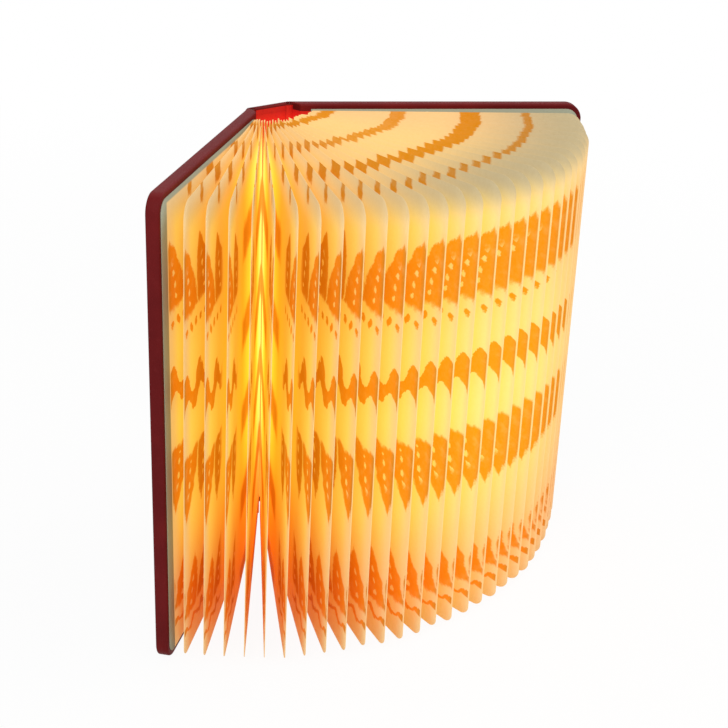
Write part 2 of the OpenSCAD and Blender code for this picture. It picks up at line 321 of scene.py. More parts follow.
def moulded(name, colour, roughness=0.5, grain=0.4 * MM, depth=0.02 * MM, mottle=0.08, **even):
    """A plain part: slight mottling over a few millimetres and a fine grain in the surface."""
    made, maker, shader = new_finish(name, **even)
    where = maker.place()
    patch = maker.noise(where, 6 * MM, 3.0)
    darker = tuple(part * (1 - mottle) for part in colour)
    link(maker, maker.mix(patch, darker, colour), shader, "Base Color")
    link(maker, patch * 0.1 + (roughness - 0.05), shader, "Roughness")
    link(maker, maker.bump(maker.noise(where, grain, 2.0), depth), shader, "Normal")
    return made


# %% [markdown]
# Book cloth. The case is covered in a dark burgundy cloth with a fine pressed grain. Cell noise gives
# the grain its pebbles of half a millimetre, threads cross under it, and the colour is a little paler
# where hands and edges rub it.

# %% Book cloth
BURGUNDY = (0.140, 0.0085, 0.0090)
BURGUNDY_DARK = (0.098, 0.0050, 0.0060)
BURGUNDY_WORN = (0.220, 0.0280, 0.0290)


def book_cloth():
    made, maker, shader = new_finish("book_cloth", roughness=0.55)
    shader.inputs["Specular IOR Level"].default_value = 0.07
    where = maker.place()
    x, y, z = maker.split(where)
    pebble_inputs = {"Vector": where, "Scale": 1 / (0.65 * MM)}
    pebble = maker.node("ShaderNodeTexVoronoi", None, pebble_inputs, "Distance")
    across = ((x - y) * (math.tau / (0.5 * MM))).sin()
    upward = (z * (math.tau / (0.5 * MM))).sin()
    thread = across * upward
    cloud = maker.noise(where, 24 * MM, 4.0)
    rubbed = maker.noise(where, 2.2 * MM, 3.0).step(0.56, 0.78)
    foot_edge = z.step(1.6 * MM, 0.2 * MM)
    head_edge = z.step(BOOK_H - 1.6 * MM, BOOK_H - 0.2 * MM)
    base = maker.mix(cloud.step(0.3, 0.75), BURGUNDY_DARK, BURGUNDY)
    base = maker.mix((foot_edge + head_edge) * 0.30 + rubbed * 0.10, base, BURGUNDY_WORN)
    link(maker, base, shader, "Base Color")
    link(maker, pebble * 0.14 + 0.48, shader, "Roughness")
    link(maker, maker.bump(pebble * 0.8 + thread * 0.12, 0.07 * MM, 0.8), shader, "Normal")
    return made


cloth = book_cloth()

# %% [markdown]
# The lining. The inside of the spine and the hinges are lined in bright red. The bar's light on it is
# painted into its emission colour: brightest near the paper, orange beside the bar and dull at the head.

# %% Red lining
RED = (0.50, 0.010, 0.010)
RED_DEEP = (0.36, 0.006, 0.007)
# Painted light: emission colours of the lining, dim at the head, glowing below it, orange by the bar.
RED_DULL = (0.05, 0.0010, 0.0008)
RED_GLOW = (0.50, 0.0110, 0.0060)
RED_PAINTED_BAR_LIGHT = (0.95, 0.36, 0.030)


def red_lining():
    made, maker, shader = new_finish("red_lining", roughness=0.5, emission_strength=1.0)
    shader.inputs["Specular IOR Level"].default_value = 0.2
    where = maker.place()
    x, y, z = maker.split(where)
    fibre = maker.noise(where, 0.8 * MM, 3.0)
    link(maker, maker.mix(fibre, RED_DEEP, RED), shader, "Base Color")
    # Painted light of the bar: stronger below the head rim and towards the pages, orange near the bar.
    below_rim = z.step(BOOK_H - 2 * MM, BOOK_H - 9 * MM)
    towards_pages = y.step(1 * MM, -11 * MM)
    glow = below_rim * (towards_pages * 0.4 + 0.6)
    painted_bar_light = z.step(BAR_TOP + 8 * MM, BAR_TOP - 12 * MM)
    shine = maker.mix(glow, RED_DULL, RED_GLOW)
    link(maker, maker.mix(painted_bar_light, shine, RED_PAINTED_BAR_LIGHT), shader, "Emission Color")
    link(maker, maker.bump(fibre, 0.03 * MM), shader, "Normal")
    return made


lining = red_lining()

# %% [markdown]
# The printed ornament. Both faces of every leaf carry the same orange print: borders of pointed
# petals with pale dots, a row of beads, a thick wave and a thin one. Deep in the fan soft bands take
# their place, and marks along the head form rings on the open fan. It is worked out from the distance
# to the outer fold and the height on the page, so it turns with the leaf and needs no picture. A soft
# noise bends every outline a little, as if it were painted with a brush.

# %% Ornament of the pages
RINGS = ((27, 31), (52, 62), (88, 95), (122, 128))


def petals(u, v, foot, top, wide, lean):
    """A border of pointed petals with pale dots, rising from foot to top, in millimetres."""
    rise = (v - foot) / (top - foot)
    cell = (u + (v - foot) * lean) / wide
    off = ((cell.fract() - 0.5) * 2.0).abs()
    outline = 1.02 - rise.most(0.0) ** 2.2 - off
    notch = off.step(0.92, 1.0) * rise.step(0.30, 0.12)
    dot_row = ((v / 5.5).fract() - 0.5) * 5.5
    dot = (off * off * (wide * wide / 4) + dot_row * dot_row).sqrt().step(1.7, 0.9)
    dot = dot * rise.step(0.08, 0.14) * rise.step(0.70, 0.60)
    return outline.step(-0.02, 0.14) * rise.step(-0.03, 0.05) * (1.0 - notch) * (1.0 - dot)


def beads(u, v, middle, radius, pitch, start):
    """A row of round marks."""
    run = (((u - start) / pitch).fract() - 0.5) * pitch
    rise = v - middle
    return (run * run + rise * rise).sqrt().step(radius + 0.35, radius - 0.35)


def wave(u, v, middle, reach, width, pitch):
    """A thick brushed wave, fuller on its crests."""
    turn = u * (math.tau / pitch)
    away = (v - middle - turn.sin() * reach).abs()
    full = (turn + 0.9).sin() * (width * 0.35) + width
    return (full - away).step(-0.3, 0.5)


def ring(u, v, start, end):
    """A mark along the head of the page, which forms a ring on the open fan."""
    return u.step(start - 0.8, start + 0.8) * u.step(end + 0.8, end - 0.8) * v.step(204.8, 206.8)


def ornament(maker, depth, height):
    """How much ink a point of the page carries, from 0 to 1."""
    flat = maker.join(depth, height)
    sway, lift, ragged = maker.split(maker.noise(flat, 6 * MM, 3.0, 0.55, "Color"))
    brush = maker.noise(flat, 1.1 * MM, 2.0)
    u = depth / MM + (sway - 0.5) * 5.0 + (brush - 0.5) * 1.4
    v = height / MM + (lift - 0.5) * 6.5 + (brush - 0.5) * 1.4
    ink = petals(u, v, 163, 195, 23.0, 0.30)
    ink = ink.most(beads(u, v, 156.5, 2.0, 7.5, 1.0))
    ink = ink.most(wave(u, v, 127, 4.4, 5.2, 21.0))
    ink = ink.most(petals(u, v, 100, 68, 24.0, -0.25))
    ink = ink.most(petals(u, v, 20, 47, 21.0, -0.30))
    ink = ink.most(wave(u, v, 14, 1.0, 1.4, 13.0))
    band = (v * (math.tau / 43) + 1.0).sin().step(0.0, 0.8) * v.step(204, 198)
    ink = (ink * u.step(42, 34)).most(band * u.step(54, 66) * 0.85)
    for start, end in RINGS:
        ink = ink.most(ring(u, v, start, end))
    return (ink * (ragged.step(0.25, 0.5) * 0.15 + 0.85)).least(1.0)


# %% [markdown]
# The paper. It is a thin white paper that the lamp lights from within, and that light is painted into
# the paper as an emission colour. Deep in the fan, near the bar, the painted light is yellow, further
# out it turns to orange and cream, and towards the foot it is a deeper orange. At the head it only
# glimmers. Along the outer fold a paler painted light is mixed in, and the first millimetre is left
# unprinted. Towards either cover the painted light is a little dimmer and redder, and under the ink it
# takes a tint of the ink. All of this follows the page itself and not the view.

# %% Page paper
PAPER = (0.57, 0.49, 0.300)
PAPER_SHADE = (0.51, 0.43, 0.250)
PASTED = (0.36, 0.37, 0.27)
PRINT = [
    (0.03, (0.36, 0.175, 0.012)),
    (0.14, (0.62, 0.215, 0.004)),
    (0.50, (0.58, 0.205, 0.004)),
    (1.00, (0.52, 0.200, 0.006)),
]
PRINT_REACH = 30.0
# Painted light: emission colours that stand in for the bar's light in the paper, and tints of it by
# place.
HEAD_GLOW = (0.05, 0.020, 0.002)
HEAD_GLOW_FRONT = (0.34, 0.180, 0.030)
HEAD_GLOW_DEEP = (0.52, 0.250, 0.016)
RIM_GLOW = (0.41, 0.230, 0.072)
PAGE_GLOW = [
    (0.00, (0.56, 0.35, 0.080)),
    (0.08, (0.58, 0.43, 0.048)),
    (0.24, (0.56, 0.30, 0.024)),
    (0.46, (0.64, 0.31, 0.012)),
    (0.68, (0.90, 0.54, 0.036)),
    (1.00, (1.00, 0.84, 0.240)),
]
PAINTED_LIGHT_FOOT_TINT = (0.88, 0.43, 0.22)
PAINTED_LIGHT_MIDDLE_TINT = (1.03, 1.16, 1.05)
PAINTED_LIGHT_FRONT_TINT = (0.86, 0.70, 0.56)
PAINTED_LIGHT_FRONT_FOOT_TINT = (0.88, 0.52, 0.34)
PAINTED_LIGHT_BACK_TINT = (0.90, 0.72, 0.78)
PAINTED_LIGHT_INK_TINT = (0.84, 0.44, 0.035)
PAINTED_LIGHT_INK_TINT_DEEP = (0.62, 0.42, 0.040)
PAINTED_LIGHT_INK_TINT_FRONT = (0.78, 0.76, 0.80)
LEAF_L = 132 * MM


def page_paper(name, rim):
    """rim is the width of the dull edge outside the first fold of a pasted leaf."""
    made, maker, shader = new_finish(name, roughness=0.75, emission_strength=1.0)
    shader.inputs["Specular IOR Level"].default_value = 0.08
    where = maker.place()
    page = maker.node("ShaderNodeAttribute", {"attribute_name": "page"}, None, "Vector")
    edge, place, height = maker.split(page)
    depth = edge - rim
    u = depth / MM
    fibre = maker.noise(where, 1.6 * MM, 4.0, 0.6)
    printed = u.step(0.5, 1.0)
    ink = ornament(maker, depth, height) * (fibre * 0.2 + 0.86) * printed
    base = maker.mix(fibre, PAPER_SHADE, PAPER)
    tone = maker.node("ShaderNodeValToRGB", {"stops": PRINT}, {0: u / PRINT_REACH})
    base = maker.mix(ink, base, tone)
    # Painted light of the bar as the emission colour: by depth from the fold, and only a glimmer at the
    # head.
    glow = maker.node("ShaderNodeValToRGB", {"stops": PAGE_GLOW}, {0: depth / LEAF_L})
    below_head = height.step(211 * MM, 196 * MM)
    by_front = place.step(0.1, -0.6)
    head = maker.mix(u.step(8, 75), maker.mix(by_front, HEAD_GLOW, HEAD_GLOW_FRONT), HEAD_GLOW_DEEP)
    glow = maker.mix(below_head, head, glow)
    # Painted light tinted: brighter at middle height, deeper orange at the foot, dimmer and redder by
    # the front cover.
    middle = height.step(45 * MM, 85 * MM) * height.step(165 * MM, 120 * MM)
    glow = maker.tint(glow, PAINTED_LIGHT_MIDDLE_TINT, middle)
    glow = maker.tint(glow, PAINTED_LIGHT_FOOT_TINT, height.step(92 * MM, 2 * MM) * 0.85)
    glow = maker.tint(glow, PAINTED_LIGHT_FRONT_TINT, by_front)
    glow = maker.tint(glow, PAINTED_LIGHT_FRONT_FOOT_TINT, height.step(75 * MM, 10 * MM) * by_front)
    # Painted light: a paler glow along the outer fold, wider and stronger towards the front cover.
    pale = (u / (by_front * 10.0 + 3.0)).step(1.0, 0.05) * below_head
    glow = maker.mix(pale * (by_front * 0.3 + 0.5), glow, RIM_GLOW)
    # Painted light dimmer and redder by the back cover.
    glow = maker.tint(glow, PAINTED_LIGHT_BACK_TINT, place.step(0.2, 0.9))
    # Under the printed ink the painted light takes the ink's tint, deeper in the fan and by the front
    # cover.
    painted_light_ink_tint = maker.mix(u.step(12, 28), PAINTED_LIGHT_INK_TINT, PAINTED_LIGHT_INK_TINT_DEEP)
    glow = maker.tint(glow, maker.tint(painted_light_ink_tint, PAINTED_LIGHT_INK_TINT_FRONT, by_front), ink)
    if rim:
        on_page = u.step(-0.2, 0.2) * height.step(BOOK_H - 4.2 * MM, BOOK_H - 5.2 * MM)
        base = maker.mix(on_page, PASTED, base)
        glow = maker.mix(on_page, (0.0, 0.0, 0.0), glow)
    link(maker, base, shader, "Base Color")
    link(maker, glow, shader, "Emission Color")
    link(maker, maker.bump(fibre, 0.03 * MM), shader, "Normal")
    return made


paper = page_paper("page_paper", 0.0)
pasted_paper = page_paper("pasted_paper", 7 * MM)

# %% [markdown]
# The remaining finishes are for what the light bar and the boards hold. They are plain moulded or
# metal surfaces, each with the slight mottling and grain that keeps it from looking like a toy.

# %% Small finishes
greyboard = moulded("greyboard", (0.42, 0.34, 0.27), 0.9, 0.5 * MM, 0.08 * MM, 0.25)
white_plastic = moulded("white_plastic", (0.80, 0.78, 0.73), 0.42)
foam_tape = moulded("foam_tape", (0.70, 0.68, 0.64), 0.9, 0.3 * MM, 0.05 * MM)
milky = moulded("milky_plastic", (0.85, 0.78, 0.62), 0.35, emission_strength=1.0,
                emission_color=(1.0, 0.72, 0.28, 1.0))
board_white = moulded("led_board_white", (0.78, 0.78, 0.74), 0.3)
emitter = moulded("led_emitter", (0.90, 0.72, 0.22), 0.3, emission_strength=1.0,
                  emission_color=(1.0, 0.85, 0.50, 1.0))
foil = moulded("cell_foil", (0.48, 0.50, 0.53), 0.35, 1.2 * MM, 0.05 * MM, metallic=0.9)
board_green = moulded("board_green", (0.03, 0.15, 0.06), 0.35, 0.8 * MM)
chip_black = moulded("chip_black", (0.025, 0.025, 0.028), 0.5)
socket_metal = moulded("socket_metal", (0.62, 0.62, 0.62), 0.28, 0.2 * MM, 0.01 * MM, metallic=1.0)
nickel = moulded("magnet_metal", (0.66, 0.65, 0.62), 0.2, 0.3 * MM, 0.01 * MM, metallic=1.0)
lead_red = moulded("lead_red", (0.42, 0.02, 0.02), 0.5)
lead_yellow = moulded("lead_yellow", (0.66, 0.46, 0.06), 0.5)

# %% [markdown]
# The construction's own solids keep their shapes and get their finishes by name.

# %% Finishes on the frame
FINISH_OF = {
    "spine_board": greyboard, "front_board": greyboard, "back_board": greyboard,
    "spine_lining": lining, "front_lining": lining, "back_lining": lining,
    "bar_tape": foam_tape, "bar_housing": white_plastic, "bar_diffuser": milky,
    "bar_top_cap": white_plastic, "bar_bottom_cap": white_plastic,
    "led_board": board_white, "leds": emitter, "battery_cells": foil,
    "charge_board": board_green, "charge_chips": chip_black, "hall_sensor": chip_black,
    "usb_socket": socket_metal, "battery_leads": lead_red, "led_leads": lead_yellow,
    "front_magnets": nickel, "back_magnets": nickel, "trigger_magnet": nickel,
    "spine_cloth": cloth, "front_cloth": cloth, "back_cloth": cloth,
}
for name, finish in FINISH_OF.items():
    nodes[name].data.materials.clear()
    nodes[name].data.materials.append(finish)
print("finishes on the frame:", len(FINISH_OF))

# %% [markdown]
# Places on a cover are given as a distance from the hinge line, a depth behind the outer face and a
# height. One function turns them into points, for the front cover on the left and the back cover on
# the right, and the pages use the same idea with their own share of the turn.

# %% Places on the covers


def turned(side, share, along, across, height):
    """The point along a board or leaf and across it towards the middle of the fan."""
    angle = share * open_angle[side]
    ahead = Vector((side * math.sin(angle), -math.cos(angle)))
    inward = Vector((-side * math.cos(angle), -math.sin(angle)))
    flat = Vector((side * AXIS_X * share, AXIS_Y)) + ahead * along + inward * across
    return Vector((flat.x, flat.y, height))


def on_cover(side, along, depth, height):
    return turned(side, 1.0, along, depth - AXIS_DEPTH, height)


def on_spine(x, depth, height):
    return Vector((x, AXIS_Y + AXIS_DEPTH - depth, height))


def mitre(depth):
    """Where a board starts behind the hinge line, so that the closed book has room."""
    return max(depth - AXIS_DEPTH + MITRE_GAP, MITRE_GAP)


# %% [markdown]
# Sheets of cloth and other wrapped skins are grids of points. The grid is made into a mesh, turned
# the right way out, and given its thickness by a Solidify modifier whose result is kept as a mesh.

# %% Wrapped skins


def grid_mesh(name, rows, extra_points=(), extra_faces=()):
    """A mesh from rows of points of equal length, with faces of its own between extra points."""
    count = len(rows[0])
    points = [point for row in rows for point in row] + list(extra_points)
    faces = []
    for i in range(len(rows) - 1):
        for j in range(count - 1):
            at = i * count + j
            faces.append((at, at + 1, at + count + 1, at + count))
    mesh = bpy.data.meshes.new(name)
    mesh.from_pydata([tuple(point) for point in points], [], faces + list(extra_faces))
    mesh.validate()
    return mesh


def end_caps(rows, first, last, turned_in):
    """Faces that carry the cloth round the hinge edge: one column beyond each end of some rows."""
    count = len(rows[0])
    base = len(rows) * count
    points, faces = [], []
    for end, column in ((0, 0), (1, count - 1)):
        start = base + len(points)
        points += [turned_in(rows[i][column], end) for i in range(first, last + 1)]
        for i in range(first, last):
            edge = (i * count + column, (i + 1) * count + column)
            inner = (start + i - first, start + i - first + 1)
            if end == 0:
                faces.append((inner[0], edge[0], edge[1], inner[1]))
            else:
                faces.append((edge[0], inner[0], inner[1], edge[1]))
    return points, faces


def skin(name, mesh, thickness, finish, outwards):
    """A closed solid from a sheet: outwards is the direction in which its first face should look."""
    if mesh.polygons[0].normal.dot(outwards) < 0:
        mesh.flip_normals()
    piece = bpy.data.objects.new(name, mesh)
    bpy.context.scene.collection.objects.link(piece)
    solid = piece.modifiers.new("thickness", "SOLIDIFY")
    solid.thickness = thickness
    solid.offset = -1
    keep_result(piece)
    piece.data.materials.append(finish)
    piece.data.shade_smooth()
    piece.data.set_sharp_from_angle(angle=math.radians(38))
    return piece


def keep_result(piece):
    """Replaces a piece's modifiers by the mesh that they make."""
    graph = bpy.context.evaluated_depsgraph_get()
    piece.data = bpy.data.meshes.new_from_object(piece.evaluated_get(graph))
    piece.modifiers.clear()


# %% [markdown]
# The cloth of a cover. On the real book one piece of cloth goes over the outer face, round the three
# free edges and 10 mm over the inner face. It is built as rings that follow the outline: the rings
# step round the edge with a small radius, and straight rungs between the last ring's two halves close
# the outer face.

# %% Cloth of the covers
EDGE_R = 0.9 * MM
ARC_STEPS = 5
CORNER_STEPS = 14
CLOTH_SKIN = 0.35 * MM


def cover_edge(start, inset):
    """The free outline of a cover, from the hinge at the foot round to the hinge at the head."""
    radius = max(CORNER_R - inset, 0.5 * MM)
    far, low, high = COVER_W - inset, inset, BOOK_H - inset
    points = [(start + (far - radius - start) * i / 6, low) for i in range(6)]
    for i in range(CORNER_STEPS + 1):
        angle = -math.pi / 2 + math.pi / 2 * i / CORNER_STEPS
        points.append((far - radius + radius * math.cos(angle), low + radius + radius * math.sin(angle)))
    upper = [(u, BOOK_H - z) for u, z in reversed(points)]
    return points + upper


def edge_profile():
    """Steps of inset and depth from the turned-in cloth over the edge to the outer face."""
    steps = [(TURN_IN, COVER_CORE), (TURN_IN / 2, COVER_CORE), (EDGE_R + 0.5 * MM, COVER_CORE)]
    for i in range(ARC_STEPS + 1):
        angle = math.pi / 2 * i / ARC_STEPS
        steps.append((EDGE_R * (1 - math.sin(angle)), COVER_CORE - EDGE_R * (1 - math.cos(angle))))
    steps.append((0.0, COVER_CORE / 2))
    for i in range(ARC_STEPS + 1):
        angle = math.pi / 2 * i / ARC_STEPS
        steps.append((EDGE_R * (1 - math.cos(angle)), EDGE_R * (1 - math.sin(angle))))
    steps.append((EDGE_R + 0.5 * MM, 0.0))
    return steps


def cover_cloth(side, name, body, node):
    rows = []
    for inset, depth in edge_profile():
        outline = cover_edge(mitre(depth), inset)
        rows.append([on_cover(side, u, depth, z) for u, z in outline])
    count = len(rows[0])
    base = (len(rows) - 1) * count
    rungs = [(base + i, base + i + 1, base + count - 2 - i, base + count - 1 - i)
             for i in range(count // 2 - 1)]

    def turned_in(point, end):
        return Vector((point.x, point.y, BOOK_H - TURN_IN * 1.01 if end else TURN_IN * 1.01))

    points, caps = end_caps(rows, 3, len(rows) - 2, turned_in)
    mesh = grid_mesh(name, rows, points, rungs + caps)
    inner = on_cover(side, 0, 1, 0) - on_cover(side, 0, 0, 0)
    piece = skin(name, mesh, CLOTH_SKIN, cloth, inner)
    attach(piece, body)
    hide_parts(node)
    return piece


front_case = cover_cloth(-1, "front_case_cloth", "front_cover", "front_cloth")
cover_cloth(1, "back_case_cloth", "back_cover", "back_cloth")
print("case cloth:", len(front_case.data.polygons), "faces a cover")

# %% [markdown]
# The cloth of the spine. It runs over the strip and turns in at head and foot, where a band of a few
# millimetres shows above the red lining.

# %% Cloth of the spine
SPINE_COLUMNS = 8
FOOT_IN = Vector((0, 0, TURN_IN * 1.01))
HEAD_IN = Vector((0, 0, BOOK_H - TURN_IN * 1.01))


def spine_profile():
    """Steps of height and depth from the turn-in at the foot over the outer face to the head."""
    lower = [(TURN_IN, SPINE_CORE), (EDGE_R + 0.4 * MM, SPINE_CORE)]
    for i in range(ARC_STEPS + 1):
        angle = math.pi / 2 * i / ARC_STEPS
        lower.append((EDGE_R * (1 - math.sin(angle)), SPINE_CORE - EDGE_R * (1 - math.cos(angle))))
    for i in range(ARC_STEPS + 1):
        angle = math.pi / 2 * i / ARC_STEPS
        lower.append((EDGE_R * (1 - math.cos(angle)), EDGE_R * (1 - math.sin(angle))))
    lower.append((EDGE_R + 0.5 * MM, 0.0))
    return lower + [(BOOK_H - z, depth) for z, depth in reversed(lower)]


def spine_skin():
    rows = []
    for z, depth in spine_profile():
        half = AXIS_X - mitre(depth)
        xs = [half * (2 * i / SPINE_COLUMNS - 1) for i in range(SPINE_COLUMNS + 1)]
        rows.append([on_spine(x, depth, z) for x in xs])
    half_rows = len(rows) // 2
    foot_points, foot_caps = end_caps(
        rows, 2, half_rows - 2, lambda point, end: point.xy.to_3d() + FOOT_IN)
    head_points, head_caps = end_caps(
        rows, half_rows + 1, len(rows) - 3, lambda point, end: point.xy.to_3d() + HEAD_IN)
    shift = len(foot_points)
    grid_count = len(rows) * len(rows[0])
    head_caps = [tuple(v + shift if v >= grid_count else v for v in face) for face in head_caps]
    mesh = grid_mesh("spine_case_cloth", rows, foot_points + head_points, foot_caps + head_caps)
    piece = skin("spine_case_cloth", mesh, CLOTH_SKIN, cloth, Vector((0, -1, 0)))
    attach(piece, "spine")
    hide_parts("spine_cloth")
    return piece


spine_skin()

# %% [markdown]
# The hinge cloth. Between the strip and a cover the same cloth is free to bend, and a slim rolled
# ridge shows there. Each hinge is a strip that follows the spine at one edge and the cover at the
# other, and turns smoothly between them.

# %% Hinge cloth
HINGE_REACH = 3.2 * MM
HINGE_SKIN = 0.55 * MM
HINGE_ROWS = 30


def hinge_cloth(side, name):
    axis = Vector((side * AXIS_X, AXIS_Y))
    out_spine = Vector((0, 1))
    out_cover = on_cover(side, 0, -1, 0).xy - on_cover(side, 0, 0, 0).xy
    out_cover.normalize()
    to_spine = Vector((-side, 0))
    to_cover = on_cover(side, 1, 0, 0).xy - on_cover(side, 0, 0, 0).xy
    radius = AXIS_DEPTH + 0.02 * MM
    flat = [axis + to_spine * HINGE_REACH * (1 - i / 5) + out_spine * radius for i in range(5)]
    for i in range(9):
        share = i / 8
        out = (out_spine * (1 - share) + out_cover * share).normalized()
        ridge = 1 + 0.45 * math.sin(math.pi * share)
        flat.append(axis + out * radius * ridge)
    flat += [axis + to_cover * HINGE_REACH * (i + 1) / 5 + out_cover * radius for i in range(5)]
    inset = 0.25 * MM
    heights = [inset + (BOOK_H - 2 * inset) * i / HINGE_ROWS for i in range(HINGE_ROWS + 1)]
    rows = [[Vector((point.x, point.y, z)) for point in flat] for z in heights]
    piece = skin(name, grid_mesh(name, rows), HINGE_SKIN, cloth, Vector((0, 1, 0)))
    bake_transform(piece)
    return piece


hinge_cloth(-1, "front_hinge_cloth")
hinge_cloth(1, "back_hinge_cloth")

# %% [markdown]
# Inside, the lining crosses the gap between the strip and each cover in a shallow groove. It is an
# arc about the hinge line. At head and foot the arc is of book cloth, and in red between them. A last
# strip carries the red lining of the spine up to the same height.

# %% Inner hinge folds
GROOVE_R = 3.2 * MM
GROOVE_SKIN = 0.2 * MM
LINING_SQUARE = 3.5 * MM
HEAD_SQUARE = 1.3 * MM
GROOVE_STEPS = 10
GROOVE_ROWS = 4


def groove(side, name, bands, finish):
    corner = math.atan2(2.0, 2.5)
    whole = math.pi / 2 + open_angle[side]
    columns = GROOVE_STEPS + 1
    angles = [corner + (whole - 2 * corner) * i / GROOVE_STEPS for i in range(columns)]
    places = [Vector((side * (AXIS_X - GROOVE_R * math.cos(a)), AXIS_Y - GROOVE_R * math.sin(a)))
              for a in angles]
    points, faces = [], []
    for low, high in bands:
        heights = [low + (high - low) * i / GROOVE_ROWS for i in range(GROOVE_ROWS + 1)]
        start = len(points)
        points += [(place.x, place.y, z) for z in heights for place in places]
        for i in range(GROOVE_ROWS):
            for j in range(GROOVE_STEPS):
                at = start + i * columns + j
                faces.append((at, at + 1, at + columns + 1, at + columns))
    mesh = bpy.data.meshes.new(name)
    mesh.from_pydata(points, [], faces)
    piece = skin(name, mesh, GROOVE_SKIN, finish, Vector((-side, -1, 0)))
    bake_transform(piece)
    return piece


EDGE_BANDS = ((0.6 * MM, LINING_SQUARE), (BOOK_H - HEAD_SQUARE, BOOK_H - 0.6 * MM))
RED_BAND = ((LINING_SQUARE, BOOK_H - HEAD_SQUARE),)
for side, body in ((-1, "front_cover"), (1, "back_cover")):
    word = body.split("_")[0]
    groove(side, word + "_groove_cloth", EDGE_BANDS, cloth)
    groove(side, word + "_groove_lining", RED_BAND, lining)


def lining_head():
    """The top edge of the lining, which laps over the turned-in cloth of the strip."""
    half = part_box("spine_lining")[1].x
    heights = (BOOK_H - LINING_SQUARE - 0.1 * MM, BOOK_H - HEAD_SQUARE)
    depth = AXIS_Y + AXIS_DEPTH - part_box("spine_lining")[0].y
    rows = [[on_spine(x, depth, z) for x in (-half, 0.0, half)] for z in heights]
    mesh = grid_mesh("spine_lining_head", rows)
    piece = skin("spine_lining_head", mesh, LINING_T, lining, Vector((0, -1, 0)))
    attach(piece, "spine")
    return piece


lining_head()

# %% [markdown]
# The leaves. Each pleat of the accordion is a doubled leaf, closed at the outer fold, with a short
# turn at its inner end that reaches for its neighbour. All thirty follow one rule, so Geometry Nodes
# make them: a flat grid is extruded into a closed slab, and every point is then moved to its place
# along the leaf. The distance from the outer fold and the height are kept as an attribute, for the
# print.

# %% Tree of a doubled leaf
LEAF_T = 0.3 * MM
PRESSED_T = 0.24 * MM
SHEET_T = 0.11 * MM
FOLD_START = 19 * MM
FOLD_RISE = 6.5 * MM
HEAD_CORNER = 8 * MM
FOOT_CORNER = 5 * MM
TURN_ANGLE = math.radians(50)
TURN_GAP = 0.3 * MM
TURN_SHARE = 0.08
LEAN = 3.6 * MM
INPUTS = [
    ("Start", "NodeSocketFloat"), ("Length", "NodeSocketFloat"), ("Foot", "NodeSocketFloat"),
    ("Height", "NodeSocketFloat"), ("Thickness", "NodeSocketFloat"), ("Sheet", "NodeSocketFloat"),
    ("Head corner", "NodeSocketFloat"), ("Foot corner", "NodeSocketFloat"), ("Turn", "NodeSocketFloat"),
    ("Lean", "NodeSocketFloat"), ("Place", "NodeSocketFloat"),
    ("Columns", "NodeSocketInt"), ("Rows", "NodeSocketInt"), ("Paper", "NodeSocketMaterial"),
]


def corner_drop(depth, radius):
    """How far a rounded corner lies below the straight edge, at a distance from the fold."""
    near = (radius - depth).most(0.0)
    return radius - (radius * radius - near * near).most(0.0).sqrt()


